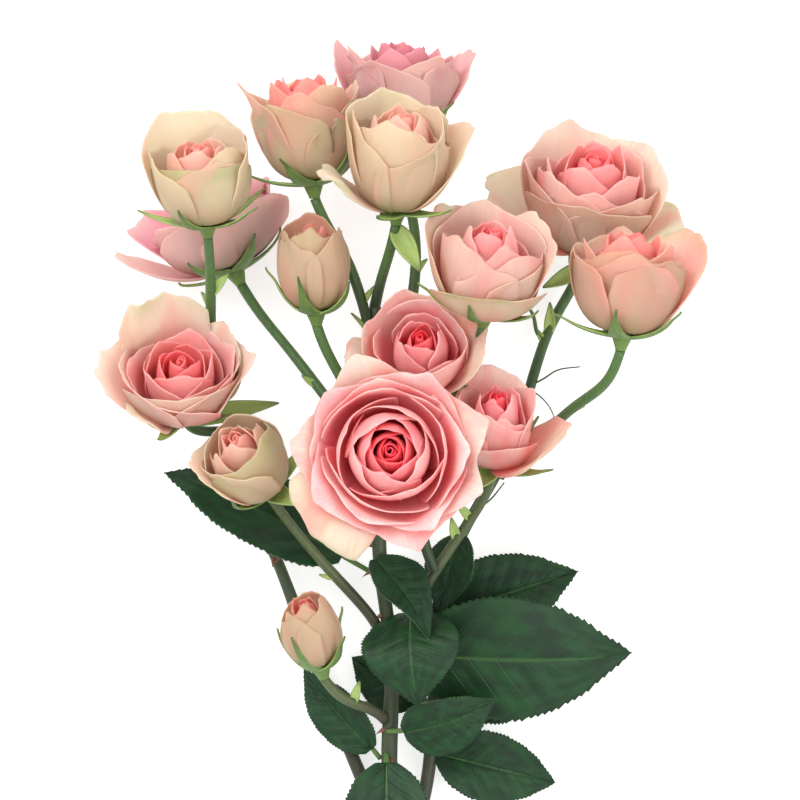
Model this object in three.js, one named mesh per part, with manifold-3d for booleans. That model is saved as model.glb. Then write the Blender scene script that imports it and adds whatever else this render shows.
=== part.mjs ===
// A cut spray rose, lying on its back on the surface z = 0.
// +Y runs from the cut end to the flower heads, +Z points up from the surface.
// Millimetres. The origin is at the middle of the underside of the whole spray.

import * as THREE from 'three';
import { mergeVertices } from 'three/addons/utils/BufferGeometryUtils.js';
import Module from 'manifold-3d';

const wasm = await Module();
wasm.setup();

// ---- driving dimensions -------------------------------------------------------------

const GAP = 0.3; // clearance kept between neighbouring pieces

const CANE_END_Y = -268; // where the main cane is cut off
const FORK_Y = -152; // where the two side canes leave the main cane
const CANE_FOOT_RADIUS = 3.2;
const CANE_TIP_RADIUS = 1.9;
const SIDE_CANE_FOOT_RADIUS = 2.4;
const SIDE_CANE_TIP_RADIUS = 1.7;
const CANE_SIDES = 8;

const STALK_FOOT_RADIUS = 1.7;
const STALK_NECK_RADIUS = 1.5;
const STALK_SIDES = 6;
const STALK_NECK = 9; // straight length below each head

const HIP_RADIUS = 3.4; // the swollen base under the petals
const HIP_HEIGHT = 6;
const SEPAL_LENGTH = 21;
const SEPAL_WIDTH = 7;
const SEPAL_THICKNESS = 1.1;
const SEPAL_STEPS = 4;
const HIP_SIDES = 8;

const BLOOM_SCALE = 1; // size of every flower head
const PETAL_THICKNESS = 1.6; // of the outer petals at their rim
const PETALS_PER_WHORL = 5;
const STEPS_PER_PETAL = 3;
const RIM_DIP = 0.05; // depth of the notches between the outer petals, as a share of the height

const LEAF_THICKNESS = 0.9;
const LEAF_SCALE = 1; // length and width of every leaflet
const LEAF_STALK_RADIUS = 0.9;
const LEAF_TEETH = 6; // along each edge
const LEAF_NOTCH = 0.93;
const LEAF_TIP_HALF_WIDTH = 0.6;
const LEAF_FOLD = 0.22; // rise of the edges over the midrib, as a share of the half width

// ---- the plant: canes, heads and leaflets -------------------------------------------

// Each cane's points run from its foot to its tip.
const CANES = {
  main: {
    node: 'main_cane',
    radii: [CANE_FOOT_RADIUS, CANE_TIP_RADIUS],
    points: [
      [-3, CANE_END_Y, 3.2], [0, -212, 4], [-1, FORK_Y, 6], [-3, -128, 9], [-4, -110, 13],
      [-2, -93, 17], [-4, -70, 22], [-7, -51, 27], [-6, -20, 31], [-7, 8, 33], [-8, 30, 35],
    ],
  },
  left: {
    node: 'left_cane',
    foot: 'main',
    radii: [SIDE_CANE_FOOT_RADIUS, SIDE_CANE_TIP_RADIUS],
    points: [
      [-7, -136, 5], [-15, -117, 5], [-21, -102, 6], [-34, -68, 8], [-38, -55, 9],
      [-43, -45, 9], [-50, -28, 9], [-54, -15, 14], [-57, -2, 27],
    ],
  },
  right: {
    node: 'right_cane',
    foot: 'main',
    radii: [SIDE_CANE_FOOT_RADIUS, SIDE_CANE_TIP_RADIUS],
    points: [
      [6, -138, 5], [10, -117, 5], [11, -96, 7], [13, -77, 10], [16, -52, 14],
      [23, -37, 18], [30, -27, 19], [36, -14, 17], [41, -3, 14],
    ],
  },
};

// base: foot of the petals. axis: the way the head faces. radius, height: of the cup.
// open: rim over cup radius. oval: depth over width. flaps: [angle, extra reach] of the
// petals that fold outward. spread: the five sepals, 0 hugs the cup, 1 stands off.
// joins, at: the stem that the stalk leaves, and the place along it. route: on the way up.
const BLOOMS = [
  { name: 'a', base: [-62, 58, 56], axis: [-0.1, 0.92, 0.36], radius: 16, height: 27, open: 0.9,
    spread: [0.9, 0.2, 0.8, 0.1, 0.5], flaps: [[90, 0.1]],
    joins: 'left', at: -4, route: [[-60, 8, 26], [-61, 26, 36]] },
  { name: 'b', base: [-54, 43, 21], axis: [-0.35, 0.75, -0.05], radius: 20, height: 26, open: 1.2,
    oval: 0.8, spread: [0.6, 0.2, 0.9, 0.2, 0.7], flaps: [[205, 0.5], [25, 0.1]],
    joins: 'main', at: -30, route: [[-14, -12, 27], [-25, 2, 24], [-40, 22, 21]] },
  { name: 'c', base: [-28, 71, 42], axis: [-0.1, 1, 0.05], radius: 16, height: 33, open: 1,
    spread: [0.2, 0.7, 0.9, 0.4, 0.2], flaps: [[180, 0.12]],
    joins: 'main', at: 14, route: [[-13, 34, 38], [-21, 55, 41]] },
  { name: 'd', base: [0, 88, 17.5], axis: [0.05, 1, 0.05], radius: 16, height: 27, open: 1.15,
    spread: [0.5, 0.2, 0.6, 0.3, 0.1], flaps: [[0, 0.15]],
    joins: 'main', at: 2, route: [[2, 22, 27], [5, 38, 23], [5, 60, 19]] },
  { name: 'e', base: [-1, 62, 60], axis: [0.05, 0.93, 0.35], radius: 16, height: 30, open: 0.95,
    spread: [0.2, 0.3, 0.2, 1, 0.9], flaps: [[20, 0.35], [190, 0.3]],
    joins: 'main', at: 29, route: [[-6, 42, 45]] },
  { name: 'f', base: [-27, 30, 46], axis: [-0.05, 0.95, 0.25], radius: 12, height: 26, open: 0.55,
    spread: [0, 0.15, 0, 0, 0.3], flaps: [],
    joins: 'main', at: -22, route: [[-15, -2, 39], [-21, 14, 43]] },
  { name: 'n', base: [30, -19, 42], axis: [0.05, 0.8, 0.6], radius: 12.5, height: 26, open: 0.85,
    spread: [0.3, 0.2, 0.4, 0.9, 0.7], flaps: [[-35, 0.75]],
    joins: 'main', at: -80, route: [[2, -70, 27], [11, -56, 29], [24, -36, 32]] },
  { name: 'g', base: [27, 29, 61], axis: [0.08, 0.9, 0.42], radius: 17.5, height: 28, open: 0.95,
    spread: [0.9, 0.2, 0.3, 0, 0.5], flaps: [[-80, 0.12], [150, 0.1]],
    joins: 'n', at: -55, route: [[5, -43, 34], [10, -24, 35], [17, 4, 40]] },
  { name: 'h', base: [60, 51, 16], axis: [0.1, 0.85, 0.5], radius: 19, height: 27, open: 1.15,
    spread: [0.4, 0.2, 0.9, 0.8, 0.3], flaps: [[165, 0.45], [-20, 0.35]],
    joins: 'right', at: -5, route: [[45, 14, 9], [51, 30, 5]] },
  { name: 'i', base: [71, 22, 60], axis: [0.1, 0.95, 0.12], radius: 17, height: 31, open: 0.95,
    spread: [0.2, 0.4, 0.9, 0.2, 0.1], flaps: [[10, 0.35]],
    joins: 'right', at: -24, route: [[44, -14, 27], [55, -2, 40]] },
  { name: 'j', base: [-70, -1, 40], axis: [-0.02, 0.7, 0.7], radius: 18, height: 24, open: 1.1,
    spread: [0.9, 0.2, 0.3, 0.9, 0.2], flaps: [[175, 0.15], [100, 0.1]],
    joins: 'left', at: -9, route: [] },
  { name: 'k', base: [7, 9, 44], axis: [-0.02, 0.55, 0.83], radius: 15, height: 22, open: 1.05,
    spread: [0.3, 0.2, 0.3, 0.4, 0.2], flaps: [[185, 0.6], [0, 0.05]],
    joins: 'main', at: -12, route: [] },
  { name: 'l', base: [-44, -27, 46], axis: [-0.35, 0.6, 0.72], radius: 14, height: 26, open: 0.85,
    spread: [0.7, 0.3, 0.2, 0.1, 0.9], flaps: [[-30, 0.15]],
    joins: 'main', at: -78, route: [[-11, -67, 25], [-19, -59, 29], [-28, -49, 33]] },
  { name: 'm', base: [-3, -18, 76], axis: [0, 0.1, 0.99], radius: 23, height: 24, open: 1.25,
    spread: [0.3, 0.4, 0.3, 0.4, 0.3], flaps: [[240, 0.3]],
    joins: 'main', at: -42, route: [[-6, -32, 42]] },
  { name: 'o', base: [-26, -84, 34], axis: [-0.25, 0.9, 0.4], radius: 10, height: 21, open: 0.5,
    spread: [0.05, 0, 0.1, 0, 0.3], flaps: [],
    joins: 'main', at: -103, route: [[-12, -98, 24]] },
];

// base and tip of each blade, its full width, the way its upper face looks, and the rise of
// its middle over the straight line from base to tip. joins, at: where its stalk starts.
const LEAFLETS = [
  { joins: 'main', at: -60, base: [-22, -44, 21], tip: [-76, -23, 21], width: 28,
    facing: [0.2, 0.6, 0.8], arch: 2 },
  { joins: 'main', at: -84, base: [17, -70, 25], tip: [75, -83, 17], width: 30,
    facing: [0.1, -0.2, 1], arch: 5 },
  { joins: 'right', at: -84, base: [19, -68, 13], tip: [58, -56, 10], width: 30,
    facing: [0, 0.1, 1], arch: 3 },
  { joins: 'right', at: -104, base: [17, -97, 5], tip: [48, -80, 0.8], width: 34,
    facing: [0, 0, 1], arch: 3 },
  { joins: 'main', at: -64, base: [-8, -50, 34], tip: [10, -76, 38], width: 20,
    facing: [0.5, 0.2, 0.9], arch: 3 },
  { joins: 'right', at: -44, base: [21, -46, 22], tip: [12, -69, 19], width: 16,
    facing: [-0.3, 0.2, 0.9], arch: 1 },
  { joins: 'n', at: -71, base: [11, -72, 34], tip: [5, -98, 33], width: 25,
    facing: [0, 0, 1], arch: 3 },
  { joins: 'main', at: -108, base: [1, -106, 22], tip: [31, -97, 26], width: 22,
    facing: [0, -0.5, 1], arch: 4 },
  { joins: 'right', at: -121, base: [13, -115, 7], tip: [51, -124, 0.8], width: 25,
    facing: [0, 0, 1], arch: 4 },
  { joins: 'main', at: -121, base: [-10, -113, 11], tip: [-31, -87, 10], width: 19,
    facing: [-0.4, -0.2, 1], arch: 2 },
  { joins: 'main', at: -114, base: [-5, -118, 19], tip: [-4, -160, 16], width: 30,
    facing: [0, 0, 1], arch: 5 },
  { joins: 'right', at: -101, base: [5, -98, 5], tip: [-16, -84, 4], width: 20,
    facing: [0, 0, 1], arch: 1 },
];

// ---- materials ----------------------------------------------------------------------

const material = (color, roughness) => new THREE.MeshStandardMaterial({ color, roughness, metalness: 0 });
const PETAL_MATERIAL = material(0xecc3b6, 0.6);
const SEPAL_MATERIAL = material(0x7da04a, 0.6);
const STALK_MATERIAL = material(0x5a7d4b, 0.55);
const CANE_MATERIAL = material(0x4b4b32, 0.6);
const LEAF_MATERIAL = material(0x1e3f26, 0.4);

// ---- helpers ------------------------------------------------------------------------

const vector = (xyz) => new THREE.Vector3(...xyz);

// A closed mesh through rings of equal count; the first and last ring are capped.
function loft(rings) {
  const count = rings[0].length;
  const positions = [];
  const faces = [];
  for (const ring of rings) {
    for (const p of ring) positions.push(p.x, p.y, p.z);
  }
  for (let i = 0; i + 1 < rings.length; i++) {
    for (let j = 0; j < count; j++) {
      const a = i * count + j;
      const b = i * count + (j + 1) % count;
      faces.push(a, b, b + count, a, b + count, a + count);
    }
  }
  const last = (rings.length - 1) * count;
  for (let j = 1; j + 1 < count; j++) {
    faces.push(0, j + 1, j);
    faces.push(last, last + j, last + j + 1);
  }
  const geometry = new THREE.BufferGeometry();
  geometry.setAttribute('position', new THREE.Float32BufferAttribute(positions, 3));
  geometry.setIndex(faces);
  return geometry;
}

// A round tube along a curve, with its radius going from radii[0] to radii[1].
function tube(curve, radii, sides, steps, grow = 0) {
  const frames = curve.computeFrenetFrames(steps);
  const rings = [];
  for (let i = 0; i <= steps; i++) {
    const centre = curve.getPointAt(i / steps);
    const radius = THREE.MathUtils.lerp(radii[0], radii[1], i / steps) + grow;
    const ring = [];
    for (let j = 0; j < sides; j++) {
      const angle = 2 * Math.PI * j / sides;
      ring.push(centre.clone()
        .addScaledVector(frames.normals[i], radius * Math.cos(angle))
        .addScaledVector(frames.binormals[i], radius * Math.sin(angle)));
    }
    rings.push(ring);
  }
  return loft(rings);
}

// The point of a curve that runs mostly along Y, at one value of Y.
function pointAtY(curve, y) {
  let low = 0;
  let high = 1;
  for (let i = 0; i < 40; i++) {
    const middle = (low + high) / 2;
    if (curve.getPoint(middle).y < y) low = middle;
    else high = middle;
  }
  return curve.getPoint(low);
}

function toManifold(geometry) {
  const bare = geometry.clone();
  bare.deleteAttribute('normal');
  bare.deleteAttribute('uv');
  const merged = mergeVertices(bare, 1e-4);
  return new wasm.Manifold(new wasm.Mesh({
    numProp: 3,
    vertProperties: new Float32Array(merged.attributes.position.array),
    triVerts: new Uint32Array(merged.index.array),
  }));
}

function toGeometry(solid) {
  const mesh = solid.getMesh();
  const geometry = new THREE.BufferGeometry();
  geometry.setAttribute('position', new THREE.BufferAttribute(mesh.vertProperties.slice(), 3));
  geometry.setIndex(new THREE.BufferAttribute(mesh.triVerts.slice(), 1));
  return geometry;
}

// Cuts the cutters away from a geometry and keeps its largest remaining body.
function cut(geometry, cutters) {
  let solid = toManifold(geometry);
  for (const cutter of cutters) solid = solid.subtract(toManifold(cutter));
  const bodies = solid.decompose();
  bodies.sort((one, other) => other.volume() - one.volume());
  return toGeometry(bodies[0]);
}

function join(geometries) {
  let solid = toManifold(geometries[0]);
  for (const geometry of geometries.slice(1)) solid = solid.add(toManifold(geometry));
  return toGeometry(solid);
}

// ---- canes --------------------------------------------------------------------------

const CANE_STEP = 22; // length of one straight facet along a cane
const curves = {};

function caneGeometry(key, grow = 0) {
  const steps = Math.round(curves[key].getLength() / CANE_STEP) + 4;
  return tube(curves[key], CANES[key].radii, CANE_SIDES, steps, grow);
}

for (const [key, cane] of Object.entries(CANES)) {
  const points = cane.points.map(vector);
  if (cane.foot) points.unshift(pointAtY(curves[cane.foot], FORK_Y));
  curves[key] = new THREE.CatmullRomCurve3(points, false, 'centripetal');
}

// ---- flower heads -------------------------------------------------------------------

// Turns the local frame, with +Z along the head's axis, to where the head is.
function headMatrix(bloom) {
  const axis = vector(bloom.axis).normalize();
  const turn = new THREE.Quaternion().setFromUnitVectors(new THREE.Vector3(0, 0, 1), axis);
  return new THREE.Matrix4().compose(vector(bloom.base), turn, new THREE.Vector3(1, 1, 1));
}

// Half section of the petals: up the outside, over the rim of the outer whorl, down into
// the groove behind the inner whorl, over its rim and into the furled middle.
function petalSection(bloom) {
  const r = bloom.radius * BLOOM_SCALE;
  const h = bloom.height * BLOOM_SCALE;
  const rim = r * bloom.open;
  return [
    { at: [0.3 * r, 0], lobe: 0 },
    { at: [0.76 * r, 0.15 * h], lobe: 0.2 },
    { at: [r, 0.45 * h], lobe: 0.5 },
    { at: [0.5 * (r + rim), 0.78 * h], lobe: 0.9 },
    { at: [rim, 0.97 * h], lobe: 1 },
    { at: [rim - PETAL_THICKNESS, h], lobe: 1 },
    { at: [0.78 * rim, 0.76 * h], lobe: 0.4 },
    { at: [0.64 * rim, 0.99 * h], lobe: -0.6 },
    { at: [0.42 * rim, 0.82 * h], lobe: -0.3 },
    { at: [0.28 * rim, 0.98 * h], lobe: 0 },
    { at: [0.14 * rim, 0.86 * h], lobe: 0 },
  ];
}
const OUTSIDE_POINTS = 5; // how many of them are on the outside of the cup

// How far the rim reaches at an angle: five rounded petals, and flaps that fold outward.
function rimReach(bloom, angle, lobe) {
  let reach = 1 + 0.06 * lobe * Math.cos(PETALS_PER_WHORL * angle);
  for (const [degrees, extra] of bloom.flaps) {
    const away = Math.cos(angle - THREE.MathUtils.degToRad(degrees));
    if (lobe > 0) reach += extra * lobe * Math.max(0, away) ** 6;
  }
  return reach;
}

function petalsGeometry(bloom) {
  const around = PETALS_PER_WHORL * STEPS_PER_PETAL;
  const oval = bloom.oval ?? 1;
  const rings = petalSection(bloom).map(({ at: [radius, height], lobe }) => {
    const ring = [];
    for (let j = 0; j < around; j++) {
      const angle = 2 * Math.PI * j / around;
      const reach = radius * rimReach(bloom, angle, lobe);
      const dip = RIM_DIP * bloom.height * lobe * (1 - Math.cos(PETALS_PER_WHORL * angle));
      ring.push(new THREE.Vector3(
        reach * Math.cos(angle), oval * reach * Math.sin(angle), height - dip + GAP));
    }
    return ring;
  });
  return loft(rings).applyMatrix4(headMatrix(bloom));
}

// The swollen base: a lathe from the stalk up to just under the petals.
function hipGeometry() {
  const section = [
    [0, -HIP_HEIGHT], [0.6 * HIP_RADIUS, -HIP_HEIGHT], [HIP_RADIUS, -0.5 * HIP_HEIGHT],
    [0.8 * HIP_RADIUS, 0], [0, 0],
  ].map(([radius, height]) => new THREE.Vector2(radius, height));
  return new THREE.LatheGeometry(section, HIP_SIDES).rotateX(Math.PI / 2);
}

// The line just outside the cup at one angle, from under the hip up to the rim.
function cupOutline(bloom, angle) {
  const clear = GAP + 0.8 * SEPAL_THICKNESS;
  const points = [new THREE.Vector2(0.5 * HIP_RADIUS, -0.4 * HIP_HEIGHT)];
  for (const { at: [radius, height], lobe } of petalSection(bloom).slice(0, OUTSIDE_POINTS)) {
    const share = height / (bloom.height * BLOOM_SCALE);
    const reach = radius * rimReach(bloom, angle, lobe);
    points.push(new THREE.Vector2(reach + clear * (0.4 + share), height - clear * (1 - share)));
  }
  return new THREE.SplineCurve(points);
}

// One sepal, lofted from three-sided sections along a route that goes from hugging the cup
// to standing off it.
function sepalGeometry(bloom, index) {
  const spread = bloom.spread[index];
  const angle = 2 * Math.PI * (index + 0.5) / PETALS_PER_WHORL;
  const outline = cupOutline(bloom, angle);
  const share = Math.min(1, SEPAL_LENGTH / outline.getLength());
  const route = [];
  for (let i = 0; i <= SEPAL_STEPS; i++) {
    const t = i / SEPAL_STEPS;
    const off = new THREE.Vector2(0.5 * HIP_RADIUS + 0.95 * SEPAL_LENGTH * t,
      -0.4 * HIP_HEIGHT + 0.3 * SEPAL_LENGTH * t * t);
    route.push(outline.getPointAt(share * t).lerp(off, spread * Math.min(1, 2 * t)));
  }
  const rings = route.map((p, i) => {
    const t = i / SEPAL_STEPS;
    const half = 0.5 * SEPAL_WIDTH * Math.sin(Math.PI * (0.22 + 0.74 * t)) ** 0.8;
    const before = route[Math.max(0, i - 1)];
    const after = route[Math.min(SEPAL_STEPS, i + 1)];
    const along = after.clone().sub(before).normalize();
    const outward = new THREE.Vector2(along.y, -along.x);
    const edge = p.clone().addScaledVector(outward, -0.3 * SEPAL_THICKNESS);
    const ridge = p.clone().addScaledVector(outward, 0.7 * SEPAL_THICKNESS);
    return [
      new THREE.Vector3(edge.x, -half, edge.y),
      new THREE.Vector3(ridge.x, 0, ridge.y),
      new THREE.Vector3(edge.x, half, edge.y),
    ];
  });
  return loft(rings).rotateZ(angle).scale(1, bloom.oval ?? 1, 1);
}

function calyxGeometry(bloom) {
  const pieces = [hipGeometry()];
  for (let i = 0; i < PETALS_PER_WHORL; i++) pieces.push(sepalGeometry(bloom, i));
  return join(pieces).applyMatrix4(headMatrix(bloom));
}

// ---- stalks -------------------------------------------------------------------------

const STALK_STEP = 12;

function stalkCurve(bloom) {
  const axis = vector(bloom.axis).normalize();
  const end = vector(bloom.base).addScaledVector(axis, -HIP_HEIGHT - GAP);
  const neck = end.clone().addScaledVector(axis, -STALK_NECK);
  const start = pointAtY(curves[bloom.joins], bloom.at);
  const points = [start, ...bloom.route.map(vector), neck, end];
  return new THREE.CatmullRomCurve3(points, false, 'centripetal');
}

function stalkGeometry(name, grow = 0) {
  const curve = curves[name];
  const steps = Math.round(curve.getLength() / STALK_STEP) + 1;
  return tube(curve, [STALK_FOOT_RADIUS, STALK_NECK_RADIUS], STALK_SIDES, steps, grow);
}

for (const bloom of BLOOMS) curves[bloom.name] = stalkCurve(bloom);

const stemGeometry = (key, grow) => (CANES[key] ? caneGeometry(key, grow) : stalkGeometry(key, grow));

// ---- leaflets -----------------------------------------------------------------------

const BLADE_STEPS = 2 * LEAF_TEETH;

function leafletGeometry(leaf) {
  const base = vector(leaf.base);
  const tip = vector(leaf.tip).sub(base).multiplyScalar(LEAF_SCALE).add(base);
  const along = tip.clone().sub(base).normalize();
  const side = new THREE.Vector3().crossVectors(vector(leaf.facing), along).normalize();
  const up = new THREE.Vector3().crossVectors(along, side).normalize();
  const half = LEAF_THICKNESS / 2;
  const rings = [];
  for (let i = 0; i <= BLADE_STEPS; i++) {
    const t = i / BLADE_STEPS;
    const tooth = i % 2 === 0 ? 1 : LEAF_NOTCH;
    const shape = Math.sin(Math.PI * Math.min(1, 0.04 + t) ** 0.8) ** 0.8;
    const width = Math.max(LEAF_TIP_HALF_WIDTH, 0.5 * leaf.width * LEAF_SCALE * shape * tooth);
    const rise = leaf.arch * 4 * t * (1 - t);
    const middle = base.clone().lerp(tip, t).addScaledVector(up, rise);
    const ring = [];
    for (const [across, layer] of [[0, -1], [1, -1], [1, 1], [0, 1], [-1, 1], [-1, -1]]) {
      ring.push(middle.clone()
        .addScaledVector(side, across * width)
        .addScaledVector(up, Math.abs(across) * width * LEAF_FOLD + layer * half));
    }
    rings.push(ring);
  }
  const start = pointAtY(curves[leaf.joins], leaf.at);
  const inside = base.clone().addScaledVector(along, 2);
  const bend = base.clone().addScaledVector(along, -4);
  const stalk = new THREE.CatmullRomCurve3([start, bend, inside], false, 'centripetal');
  const radii = [LEAF_STALK_RADIUS, LEAF_STALK_RADIUS];
  return join([loft(rings), tube(stalk, radii, STALK_SIDES, 4)]);
}

// ---- assembly -----------------------------------------------------------------------

const plant = new THREE.Group();

function place(name, geometry, look) {
  const mesh = new THREE.Mesh(geometry, look);
  mesh.name = name;
  plant.add(mesh);
}

for (const [key, cane] of Object.entries(CANES)) {
  const cutters = cane.foot ? [caneGeometry(cane.foot, GAP)] : [];
  place(cane.node, cut(caneGeometry(key), cutters), CANE_MATERIAL);
}

for (const bloom of BLOOMS) {
  place(`stalk_${bloom.name}`, cut(stalkGeometry(bloom.name), [stemGeometry(bloom.joins, GAP)]),
    STALK_MATERIAL);
  place(`calyx_${bloom.name}`, calyxGeometry(bloom), SEPAL_MATERIAL);
  place(`petals_${bloom.name}`, petalsGeometry(bloom), PETAL_MATERIAL);
}

LEAFLETS.forEach((leaf, index) => {
  place(`leaflet_${index + 1}`, cut(leafletGeometry(leaf), [stemGeometry(leaf.joins, GAP)]),
    LEAF_MATERIAL);
});

// The origin is moved to the middle of the underside.
const box = new THREE.Box3().setFromObject(plant);
const middle = box.getCenter(new THREE.Vector3());
const group = new THREE.Group();
plant.position.set(-middle.x, -middle.y, -box.min.z);
group.add(plant);

export default group;
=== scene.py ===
"""A cut spray rose lying on its back, seen from straight above.

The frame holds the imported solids. Every stem, calyx, leaflet and set of petals here takes its
place, direction and size from the solid that it replaces. Metres throughout.
"""

import math
from typing import NamedTuple

import bpy
import numpy as np
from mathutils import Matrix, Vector


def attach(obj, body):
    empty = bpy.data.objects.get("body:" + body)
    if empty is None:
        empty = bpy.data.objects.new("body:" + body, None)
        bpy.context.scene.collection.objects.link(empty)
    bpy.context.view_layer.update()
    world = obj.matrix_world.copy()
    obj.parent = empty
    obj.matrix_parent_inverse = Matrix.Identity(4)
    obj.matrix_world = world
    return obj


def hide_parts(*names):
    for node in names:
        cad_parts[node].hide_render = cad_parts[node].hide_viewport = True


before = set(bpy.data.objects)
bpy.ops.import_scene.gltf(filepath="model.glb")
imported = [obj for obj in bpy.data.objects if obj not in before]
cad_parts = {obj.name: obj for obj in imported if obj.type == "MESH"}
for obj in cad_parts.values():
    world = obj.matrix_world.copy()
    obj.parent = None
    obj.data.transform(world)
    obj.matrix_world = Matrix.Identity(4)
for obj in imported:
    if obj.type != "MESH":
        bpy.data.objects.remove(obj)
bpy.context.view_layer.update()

MM = 0.001
HEADS = "abcdefghijklmno"
UP = Vector((0, 0, 1))
GOLDEN_TURN = 137.5  # degrees from one petal to the next

HIP_HEIGHT = 6.3 * MM
HIP_RADIUS = 3.4 * MM
STALK_SIDES = 6
CANE_SIDES = 8
LEAFLETS = 12

# each kind of piece draws its small irregularities from seeds of its own
CANE_SEED = 10
STALK_SEED = 40
PETAL_SEED = 100
CALYX_SEED = 300
LEAF_SEED = 500
SHOOT_SEED = 900

TABLE_GAP = 0.4 * MM  # petals and leaves stay at least this far above the table


# ---- measuring the frame ------------------------------------------------------------


def points_of(node):
    """The distinct corners of a CAD solid, as an array."""
    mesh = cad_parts[node].data
    co = np.zeros(len(mesh.vertices) * 3)
    mesh.vertices.foreach_get("co", co)
    return np.unique(co.reshape(-1, 3).round(6), axis=0)


def centre_line(node, start, sides):
    """The middle of each ring of a tube, from the ring at start to the other end."""
    left = points_of(node)
    line = []
    here = np.array(start)
    while len(left) >= sides:
        order = np.argsort(np.linalg.norm(left - here, axis=1))
        ring = left[order[:sides]]
        left = left[order[sides:]]
        here = ring.mean(0)
        line.append(here)
    if len(left):
        line[-1] = np.vstack([left, ring]).mean(0)
    return np.array(line)


def head_frame(letter):
    """The foot of a head's petals, its axes with the third one outward, and its stalk's top."""
    middle = points_of(f"petals_{letter}").mean(0)
    stalk = points_of(f"stalk_{letter}")
    order = np.argsort(np.linalg.norm(stalk - middle, axis=1))
    ring = stalk[order[:STALK_SIDES]]
    neck = ring.mean(0)
    axis = np.linalg.svd(ring - neck)[2][2]
    if axis @ (middle - neck) < 0:
        axis = -axis
    turn = UP.rotation_difference(Vector(axis))
    axes = np.array(turn.to_matrix())
    return neck + axis * HIP_HEIGHT, axes, neck


def to_local(points, origin, axes):
    """Points of the scene as a head sees them."""
    return (points - origin) @ axes


def to_world(points, origin, axes):
    """Points of a head as the scene sees them."""
    return points @ axes.T + origin


# ---- meshes -------------------------------------------------------------------------


class Sheets:
    """Collects thin two-sided sheets and tubes with their per-point values into one mesh."""

    def __init__(self):
        self.points = []
        self.faces = []
        self.caps = []
        self.values = {}
        self.count = 0

    def add_points(self, grid, **values):
        """Adds a grid of points and their values. Returns the number of the first point."""
        flat = grid.reshape(-1, 3)
        first = self.count
        self.points.append(flat)
        self.count += len(flat)
        for name in ("reach", "edge", "across", "depth", "side", "cream", "pick"):
            value = np.broadcast_to(values.get(name, 0.0), grid.shape[:-1]).reshape(-1)
            self.values.setdefault(name, []).append(value)
        return first

    def sheet(self, grid, thickness, **values):
        """A closed thin body over a grid of points (rows from base to rim)."""
        normal = grid_normals(grid)
        rows, columns = grid.shape[:2]
        half = np.asarray(thickness) / 2
        half = half[..., None] if np.ndim(half) == 2 else half
        top = self.add_points(grid + normal * half, side=0.0, **values)
        low = self.add_points(grid - normal * half, side=1.0, **values)
        index = np.arange(rows * columns).reshape(rows, columns)
        a, b = index[:-1, :-1].ravel(), index[:-1, 1:].ravel()
        c, d = index[1:, 1:].ravel(), index[1:, :-1].ravel()
        self.faces.append(np.stack([a, b, c, d], 1) + top)
        self.faces.append(np.stack([d, c, b, a], 1) + low)
        ring = np.concatenate([index[0, :-1], index[:-1, -1], index[-1, :0:-1], index[:0:-1, 0]])
        after = np.roll(ring, -1)
        self.faces.append(np.stack([ring + low, after + low, after + top, ring + top], 1))

    def tube(self, line, radii, sides=20, **values):
        """A round closed tube along a line, with one radius for each point."""
        rings = tube_rings(line, radii, sides)
        first = self.add_points(rings, **values)
        rows = len(line)
        index = np.arange(rows * sides).reshape(rows, sides)
        over = np.roll(index, -1, 1)
        quads = [index[:-1].ravel(), over[:-1].ravel(), over[1:].ravel(), index[1:].ravel()]
        self.faces.append(np.stack(quads, 1) + first)
        self.caps.append((index[0][::-1] + first).tolist())
        self.caps.append((index[-1] + first).tolist())

    def build(self, name, material):
        """One object made of everything collected so far."""
        points = np.vstack(self.points)
        faces = np.vstack(self.faces).tolist() + self.caps
        mesh = bpy.data.meshes.new(name)
        mesh.from_pydata(points.tolist(), [], faces)
        for key, chunks in self.values.items():
            attribute = mesh.attributes.new(key, "FLOAT", "POINT")
            attribute.data.foreach_set("value", np.concatenate(chunks).astype(np.float32))
        mesh.polygons.foreach_set("use_smooth", [True] * len(mesh.polygons))
        mesh.validate()
        mesh.update()
        piece = bpy.data.objects.new(name, mesh)
        bpy.context.scene.collection.objects.link(piece)
        piece.data.materials.append(material)
        return piece


def grid_normals(grid):
    """The unit normal at each point of a grid."""
    du = np.gradient(grid, axis=1)
    dv = np.gradient(grid, axis=0)
    normal = np.cross(du, dv)
    return normal / np.maximum(np.linalg.norm(normal, axis=-1, keepdims=True), 1e-12)


def tube_rings(line, radii, sides):
    """Rings of points round a line, carried along it without twisting."""
    tangent = np.gradient(line, axis=0)
    tangent /= np.linalg.norm(tangent, axis=1, keepdims=True)
    side = np.cross(tangent[0], [0.3, 0.1, 1.0])
    rings = []
    for point, along, radius in zip(line, tangent, radii):
        side = side - along * (side @ along)
        side /= np.linalg.norm(side)
        other = np.cross(along, side)
        angle = np.linspace(0, 2 * np.pi, sides, endpoint=False)[:, None]
        rings.append(point + radius * (np.cos(angle) * side + np.sin(angle) * other))
    return np.array(rings)


def smooth_line(points, step):
    """A Catmull-Rom curve through points, sampled about every step."""
    points = np.asarray(points, float)
    ends = np.vstack([2 * points[0] - points[1], points, 2 * points[-1] - points[-2]])
    out = []
    for i in range(1, len(ends) - 2):
        p0, p1, p2, p3 = ends[i - 1 : i + 3]
        count = max(2, int(np.linalg.norm(p2 - p1) / step))
        t = np.linspace(0, 1, count, endpoint=False)[:, None]
        out.append(
            0.5 * (2 * p1 + (p2 - p0) * t + (2 * p0 - 5 * p1 + 4 * p2 - p3) * t**2
                   + (3 * p1 - p0 - 3 * p2 + p3) * t**3)
        )
    return np.vstack(out + [points[-1:]])


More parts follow.
